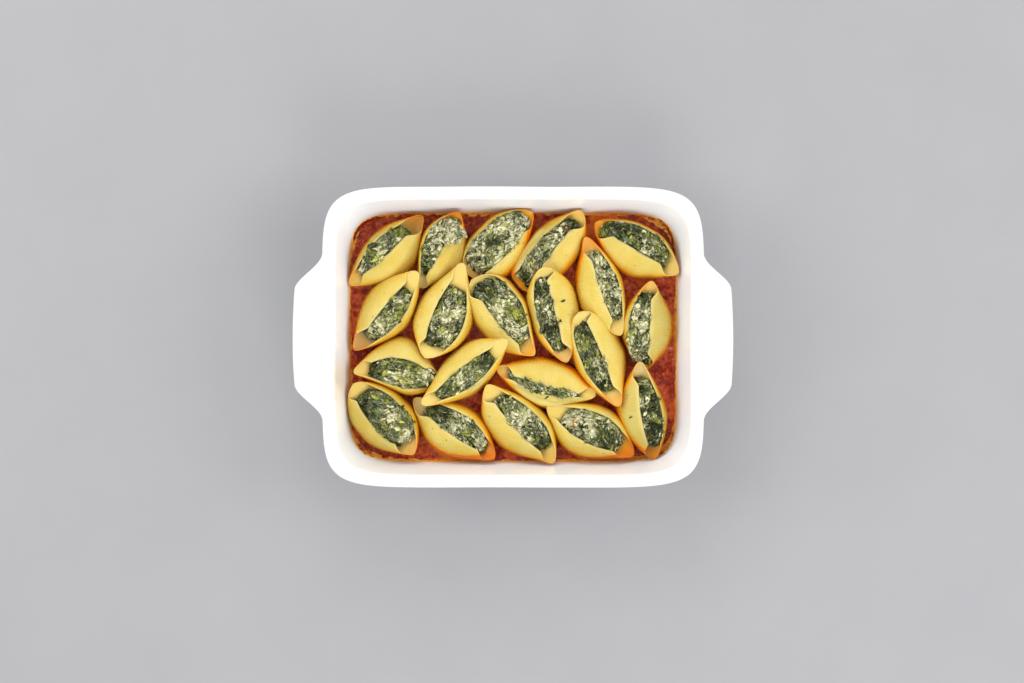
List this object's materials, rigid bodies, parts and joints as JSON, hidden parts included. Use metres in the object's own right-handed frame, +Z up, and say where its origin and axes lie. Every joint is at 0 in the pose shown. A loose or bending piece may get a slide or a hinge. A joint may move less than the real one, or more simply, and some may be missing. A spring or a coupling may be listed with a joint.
{
  "type": "dish of stuffed pasta shells",
  "caption": "White rectangular baking dish with two wing handles, filled with tomato sauce and large pasta shells stuffed with spinach and ricotta.",
  "frame": {"origin": "middle of the dish's flat base, on the surface it stands on", "axes": "+Z up, +X along the dish through its two handles, +Y towards its back wall"},
  "size_m": [0.305, 0.2084, 0.06],
  "materials": {
    "white_glaze": "glazed white stoneware, glossy",
    "pasta": "cooked pasta, moist satin",
    "spinach_and_ricotta": "chopped leaves in curd cheese, moist",
    "tomato_sauce": "baked tomato sauce, wet"
  },
  "bodies": {
    "root": {"dish": "white_glaze", "sauce": "tomato_sauce", "pasta_shell_01": "pasta", "pasta_shell_02": "pasta", "pasta_shell_03": "pasta", "pasta_shell_04": "pasta", "pasta_shell_05": "pasta", "pasta_shell_06": "pasta", "pasta_shell_07": "pasta", "pasta_shell_08": "pasta", "pasta_shell_09": "pasta", "pasta_shell_10": "pasta", "pasta_shell_11": "pasta", "pasta_shell_12": "pasta", "pasta_shell_13": "pasta", "pasta_shell_14": "pasta", "pasta_shell_15": "pasta", "pasta_shell_16": "pasta", "pasta_shell_17": "pasta", "pasta_shell_18": "pasta", "pasta_shell_19": "pasta", "pasta_shell_20": "pasta", "filling_01": "spinach_and_ricotta", "filling_02": "spinach_and_ricotta", "filling_03": "spinach_and_ricotta", "filling_04": "spinach_and_ricotta", "filling_05": "spinach_and_ricotta", "filling_06": "spinach_and_ricotta", "filling_07": "spinach_and_ricotta", "filling_08": "spinach_and_ricotta", "filling_09": "spinach_and_ricotta", "filling_10": "spinach_and_ricotta", "filling_11": "spinach_and_ricotta", "filling_12": "spinach_and_ricotta", "filling_13": "spinach_and_ricotta", "filling_14": "spinach_and_ricotta", "filling_15": "spinach_and_ricotta", "filling_16": "spinach_and_ricotta", "filling_17": "spinach_and_ricotta", "filling_18": "spinach_and_ricotta", "filling_19": "spinach_and_ricotta", "filling_20": "spinach_and_ricotta"}
  },
  "joints": []
}
